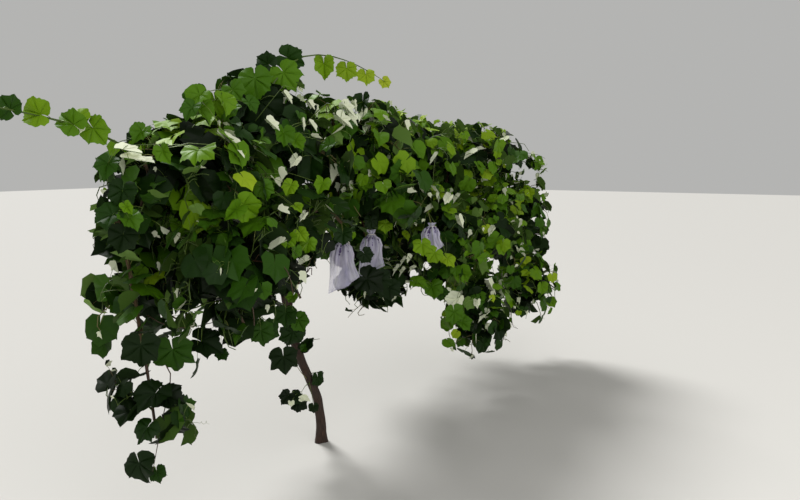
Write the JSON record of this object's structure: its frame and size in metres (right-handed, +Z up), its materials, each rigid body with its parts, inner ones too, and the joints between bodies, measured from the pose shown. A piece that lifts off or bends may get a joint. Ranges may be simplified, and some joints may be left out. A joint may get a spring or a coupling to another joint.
{
  "type": "grapevine",
  "caption": "Whole spur-trained grapevine: leaning woody trunk, fork, two level cordons, hanging leafy shoots and fruit clusters in cloth bags",
  "frame": {"origin": "centre of the flat cut under the trunk at ground level, which is the mount ground", "axes": "+Z up; +X along the row, from the short left cordon to the long right cordon; +Y away from the side in the picture"},
  "size_m": [4.1146, 1.1273, 1.9848],
  "materials": {
    "bark": "rough fibrous bark",
    "young_wood": "smooth one-year cane",
    "foliage": "leaf, slightly waxy above and pale below",
    "young_foliage": "young leaf, soft",
    "bag_cloth": "sheer woven cloth"
  },
  "bodies": {
    "root": {"trunk": "bark", "left_arm": "bark", "left_cordon": "bark", "right_arm": "bark", "right_cordon": "bark", "bough_crown_left_end": "young_wood", "bough_front_left_end": "young_wood", "bough_crown_left": "young_wood", "bough_front_left": "young_wood", "bough_crown_middle": "young_wood", "bough_front_middle": "young_wood", "bough_crown_right": "young_wood", "bough_front_right": "young_wood", "bough_crown_far": "young_wood", "bough_front_far": "young_wood", "bough_crown_far_end": "young_wood", "bough_front_far_end": "young_wood", "bough_back_left": "young_wood", "bough_back_middle": "young_wood", "bough_back_right": "young_wood", "bough_back_far": "young_wood", "bough_skirt_left": "young_wood", "bough_skirt_middle": "young_wood", "bough_skirt_near": "young_wood", "bough_skirt_far": "young_wood", "bough_cane_left": "young_wood", "bough_cane_top": "young_wood", "bough_fruit_left": "young_wood", "bough_fruit_middle": "young_wood", "bough_fruit_right": "young_wood", "foliage_crown_left_end": "foliage", "foliage_front_left_end": "foliage", "foliage_crown_left": "foliage", "foliage_front_left": "foliage", "foliage_crown_middle": "foliage", "foliage_front_middle": "foliage", "foliage_crown_right": "foliage", "foliage_front_right": "foliage", "foliage_crown_far": "foliage", "foliage_front_far": "foliage", "foliage_crown_far_end": "foliage", "foliage_front_far_end": "foliage", "foliage_back_left": "foliage", "foliage_back_middle": "foliage", "foliage_back_right": "foliage", "foliage_back_far": "foliage", "foliage_skirt_left": "foliage", "foliage_skirt_middle": "foliage", "foliage_skirt_near": "foliage", "foliage_skirt_far": "foliage", "sprout_upper": "foliage", "sprout_middle": "foliage", "sprout_lower": "foliage", "cane_left": "young_foliage", "cane_top": "young_foliage", "fruit_bag_left": "bag_cloth", "fruit_bag_middle": "bag_cloth", "fruit_bag_right": "bag_cloth"}
  },
  "joints": []
}
